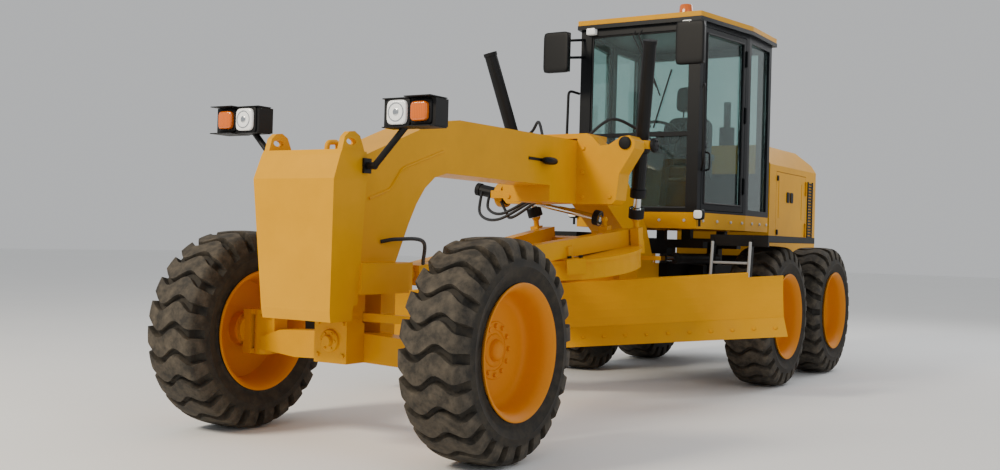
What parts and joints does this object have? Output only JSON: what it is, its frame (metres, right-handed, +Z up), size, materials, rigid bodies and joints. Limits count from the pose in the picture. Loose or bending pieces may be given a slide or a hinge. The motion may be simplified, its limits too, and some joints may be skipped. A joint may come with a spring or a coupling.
{
  "type": "motor grader",
  "caption": "Articulated motor grader with tandem rear wheels, leaning front wheels, a circle-mounted blade under its gooseneck and an enclosed cab.",
  "frame": {"origin": "on the ground, midway along and across the machine", "axes": "+X forward, +Y to the machine's left, +Z up"},
  "size_m": [8.8208, 3.2434, 3.595],
  "materials": {
    "amber_rim": "orange-yellow enamel on the rims",
    "black": "satin black enamel",
    "chrome": "hard-chromed rod",
    "glass": "tinted safety glass",
    "iron": "painted cast iron",
    "plastic": "textured black moulding",
    "seat": "woven seat cover",
    "slate": "dark slate enamel",
    "steel": "worn bare steel edge",
    "tyre": "dusty ribbed rubber",
    "yellow": "machine yellow gloss enamel"
  },
  "bodies": {
    "rear_chassis": {"rear_frame": "slate", "rear_axle": "slate", "tandem_case_left": "yellow", "tandem_case_right": "yellow", "engine_block": "iron", "engine_hood": "yellow", "cab_base": "yellow", "cab_frame": "slate", "cab_roof": "yellow", "windscreen": "glass", "quarter_window_left": "glass", "quarter_window_right": "glass", "rear_window": "glass", "seat": "seat", "control_console": "plastic"},
    "front_chassis": {"front_frame": "yellow", "nose_block": "yellow", "lift_saddle": "yellow", "headlamp_left": "black", "headlamp_right": "black", "front_axle": "yellow"},
    "lean_link": {"lean_bar": "yellow"},
    "middle_wheel_left": {"middle_left_tyre": "tyre", "middle_left_rim": "amber_rim"},
    "rear_wheel_left": {"rear_left_tyre": "tyre", "rear_left_rim": "amber_rim"},
    "middle_wheel_right": {"middle_right_tyre": "tyre", "middle_right_rim": "amber_rim"},
    "rear_wheel_right": {"rear_right_tyre": "tyre", "rear_right_rim": "amber_rim"},
    "yoke_left": {"wheel_yoke_left": "yellow"},
    "steering_left": {"knuckle_left": "yellow"},
    "front_wheel_left": {"front_left_tyre": "tyre", "front_left_rim": "amber_rim"},
    "yoke_right": {"wheel_yoke_right": "yellow"},
    "steering_right": {"knuckle_right": "yellow"},
    "front_wheel_right": {"front_right_tyre": "tyre", "front_right_rim": "amber_rim"},
    "drawbar_body": {"drawbar": "yellow"},
    "circle_body": {"circle": "yellow"},
    "tilt_frame": {"blade_carrier": "yellow"},
    "blade": {"moldboard": "yellow", "cutting_edge": "steel"},
    "lift_left_barrel_body": {"lift_left_barrel": "slate"},
    "lift_left_rod_body": {"lift_left_rod": "chrome"},
    "lift_right_barrel_body": {"lift_right_barrel": "slate"},
    "lift_right_rod_body": {"lift_right_rod": "chrome"},
    "centre_shift_barrel_body": {"centre_shift_barrel": "slate"},
    "centre_shift_rod_body": {"centre_shift_rod": "chrome"},
    "articulation_left_barrel_body": {"articulation_left_barrel": "slate"},
    "articulation_left_rod_body": {"articulation_left_rod": "chrome"},
    "articulation_right_barrel_body": {"articulation_right_barrel": "slate"},
    "articulation_right_rod_body": {"articulation_right_rod": "chrome"},
    "door_left": {"cab_door_left": "slate", "door_glass_left": "glass"},
    "side_panel_left": {"hood_door_left": "yellow"},
    "door_right": {"cab_door_right": "slate", "door_glass_right": "glass"},
    "side_panel_right": {"hood_door_right": "yellow"}
  },
  "joints": [
    {"name": "articulation", "type": "hinge", "parent": "rear_chassis", "child": "front_chassis", "pos_m": [-0.552, 0, 0.96], "axis": [0, 0, 1], "range_deg": [-20, 20]},
    {"name": "middle_left_spin", "type": "hinge", "parent": "rear_chassis", "child": "middle_wheel_left", "pos_m": [-1.265, 0.991, 0.67076], "axis": [0, 1, 0], "continuous": true},
    {"name": "rear_left_spin", "type": "hinge", "parent": "rear_chassis", "child": "rear_wheel_left", "pos_m": [-2.839, 0.991, 0.67076], "axis": [0, 1, 0], "continuous": true},
    {"name": "middle_right_spin", "type": "hinge", "parent": "rear_chassis", "child": "middle_wheel_right", "pos_m": [-1.265, -0.991, 0.67076], "axis": [0, 1, 0], "continuous": true},
    {"name": "rear_right_spin", "type": "hinge", "parent": "rear_chassis", "child": "rear_wheel_right", "pos_m": [-2.839, -0.991, 0.67076], "axis": [0, 1, 0], "continuous": true},
    {"name": "lean_left", "type": "hinge", "parent": "front_chassis", "child": "yoke_left", "pos_m": [3.738, 0.705, 0.58576], "axis": [1, 0, 0], "range_deg": [-16, 16]},
    {"name": "steer_left", "type": "hinge", "parent": "yoke_left", "child": "steering_left", "pos_m": [3.738, 0.8, 0.67076], "axis": [0, 0, 1], "range_deg": [-40, 40]},
    {"name": "front_left_spin", "type": "hinge", "parent": "steering_left", "child": "front_wheel_left", "pos_m": [3.738, 1.015, 0.67076], "axis": [0, 1, 0], "continuous": true},
    {"name": "lean_right", "type": "hinge", "parent": "front_chassis", "child": "yoke_right", "pos_m": [3.738, -0.705, 0.58576], "axis": [1, 0, 0], "range_deg": [-16, 16]},
    {"name": "steer_right", "type": "hinge", "parent": "yoke_right", "child": "steering_right", "pos_m": [3.738, -0.8, 0.67076], "axis": [0, 0, 1], "range_deg": [-40, 40]},
    {"name": "front_right_spin", "type": "hinge", "parent": "steering_right", "child": "front_wheel_right", "pos_m": [3.738, -1.015, 0.67076], "axis": [0, 1, 0], "continuous": true},
    {"name": "lean_link_slide", "type": "slide", "parent": "front_chassis", "child": "lean_link", "axis": [0, 1, 0], "range_m": [-0.07, 0.07]},
    {"name": "drawbar_lift", "type": "hinge", "parent": "front_chassis", "child": "drawbar_body", "pos_m": [3.288, 0, 1.07], "axis": [0, 1, 0], "range_deg": [-9.5, 1.5]},
    {"name": "circle_turn", "type": "hinge", "parent": "drawbar_body", "child": "circle_body", "pos_m": [0.97756, 0, 1.26179], "axis": [-0.1564, 0, -0.9877], "range_deg": [-10, 71]},
    {"name": "blade_pitch", "type": "hinge", "parent": "circle_body", "child": "tilt_frame", "pos_m": [0.56325, -0.18271, 0.62881], "axis": [-0.5013, 0.8616, 0.0794], "range_deg": [-10, 25]},
    {"name": "blade_sideshift", "type": "slide", "parent": "tilt_frame", "child": "blade", "axis": [-0.5013, 0.8616, 0.0794], "range_m": [-0.4, 0.4]},
    {"name": "lift_left_swing", "type": "hinge", "parent": "front_chassis", "child": "lift_left_barrel_body", "pos_m": [0.831, 0.606, 2.14], "axis": [0.7109, -0.7001, -0.067], "range_deg": [-1.29, 6.59]},
    {"name": "lift_left_stroke", "type": "slide", "parent": "lift_left_barrel_body", "child": "lift_left_rod_body", "axis": [-0.2692, -0.1828, -0.9456], "range_m": [-0.0735, 0.4386]},
    {"name": "lift_right_swing", "type": "hinge", "parent": "front_chassis", "child": "lift_right_barrel_body", "pos_m": [0.831, -0.606, 2.14], "axis": [-0.7109, -0.7001, 0.067], "range_deg": [-1.29, 6.59]},
    {"name": "lift_right_stroke", "type": "slide", "parent": "lift_right_barrel_body", "child": "lift_right_rod_body", "axis": [-0.2692, 0.1828, -0.9456], "range_m": [-0.0735, 0.4386]},
    {"name": "centre_shift_swing", "type": "hinge", "parent": "front_chassis", "child": "centre_shift_barrel_body", "pos_m": [0.854, -0.72, 1.726], "axis": [-0.9948, -0.0311, 0.0973], "range_deg": [-3.63, 21.36]},
    {"name": "centre_shift_stroke", "type": "slide", "parent": "centre_shift_barrel_body", "child": "centre_shift_rod_body", "axis": [-0.0503, 0.9783, -0.2011], "range_m": [-0.0285, 0.1539]},
    {"name": "articulation_left_swing", "type": "hinge", "parent": "rear_chassis", "child": "articulation_left_barrel_body", "pos_m": [-1.452, 0.4, 1.2], "axis": [0, 0, 1], "range_deg": [-6.91, 6.91]},
    {"name": "articulation_left_stroke", "type": "slide", "parent": "articulation_left_barrel_body", "child": "articulation_left_rod_body", "axis": [0.9993, -0.0365, 0], "range_m": [-0.1322, 0.1322]},
    {"name": "articulation_right_swing", "type": "hinge", "parent": "rear_chassis", "child": "articulation_right_barrel_body", "pos_m": [-1.452, -0.4, 1.2], "axis": [0, 0, 1], "range_deg": [-6.91, 6.91]},
    {"name": "articulation_right_stroke", "type": "slide", "parent": "articulation_right_barrel_body", "child": "articulation_right_rod_body", "axis": [0.9993, 0.0365, 0], "range_m": [-0.1322, 0.1322]},
    {"name": "cab_door_left_hinge", "type": "hinge", "parent": "rear_chassis", "child": "door_left", "pos_m": [-1.19346, 0.75899, 2.5], "axis": [0, 0, 1], "range_deg": [0, 95]},
    {"name": "hood_door_left_hinge", "type": "hinge", "parent": "rear_chassis", "child": "side_panel_left", "pos_m": [-3.899, 0.543, 1.79], "axis": [0, 0, 1], "range_deg": [0, 90]},
    {"name": "cab_door_right_hinge", "type": "hinge", "parent": "rear_chassis", "child": "door_right", "pos_m": [-1.19346, -0.75899, 2.5], "axis": [0, 0, -1], "range_deg": [0, 95]},
    {"name": "hood_door_right_hinge", "type": "hinge", "parent": "rear_chassis", "child": "side_panel_right", "pos_m": [-3.899, -0.543, 1.79], "axis": [0, 0, -1], "range_deg": [0, 90]}
  ],
  "couplings": [
    {"joint": "lean_right", "follows": "lean_left", "ratio": 1},
    {"joint": "steer_right", "follows": "steer_left", "ratio": 1},
    {"joint": "lean_link_slide", "follows": "lean_left", "m_per_rad": -0.22702},
    {"joint": "lift_left_swing", "follows": "drawbar_lift", "ratio": -0.66183},
    {"joint": "lift_left_stroke", "follows": "drawbar_lift", "m_per_rad": -2.615},
    {"joint": "lift_right_swing", "follows": "drawbar_lift", "ratio": -0.66183},
    {"joint": "lift_right_stroke", "follows": "drawbar_lift", "m_per_rad": -2.615},
    {"joint": "centre_shift_swing", "follows": "drawbar_lift", "ratio": -2.2168},
    {"joint": "centre_shift_stroke", "follows": "drawbar_lift", "m_per_rad": -0.89832},
    {"joint": "articulation_left_swing", "follows": "articulation", "ratio": 0.33027},
    {"joint": "articulation_left_stroke", "follows": "articulation", "m_per_rad": -0.36441},
    {"joint": "articulation_right_swing", "follows": "articulation", "ratio": 0.33027},
    {"joint": "articulation_right_stroke", "follows": "articulation", "m_per_rad": 0.36441}
  ]
}
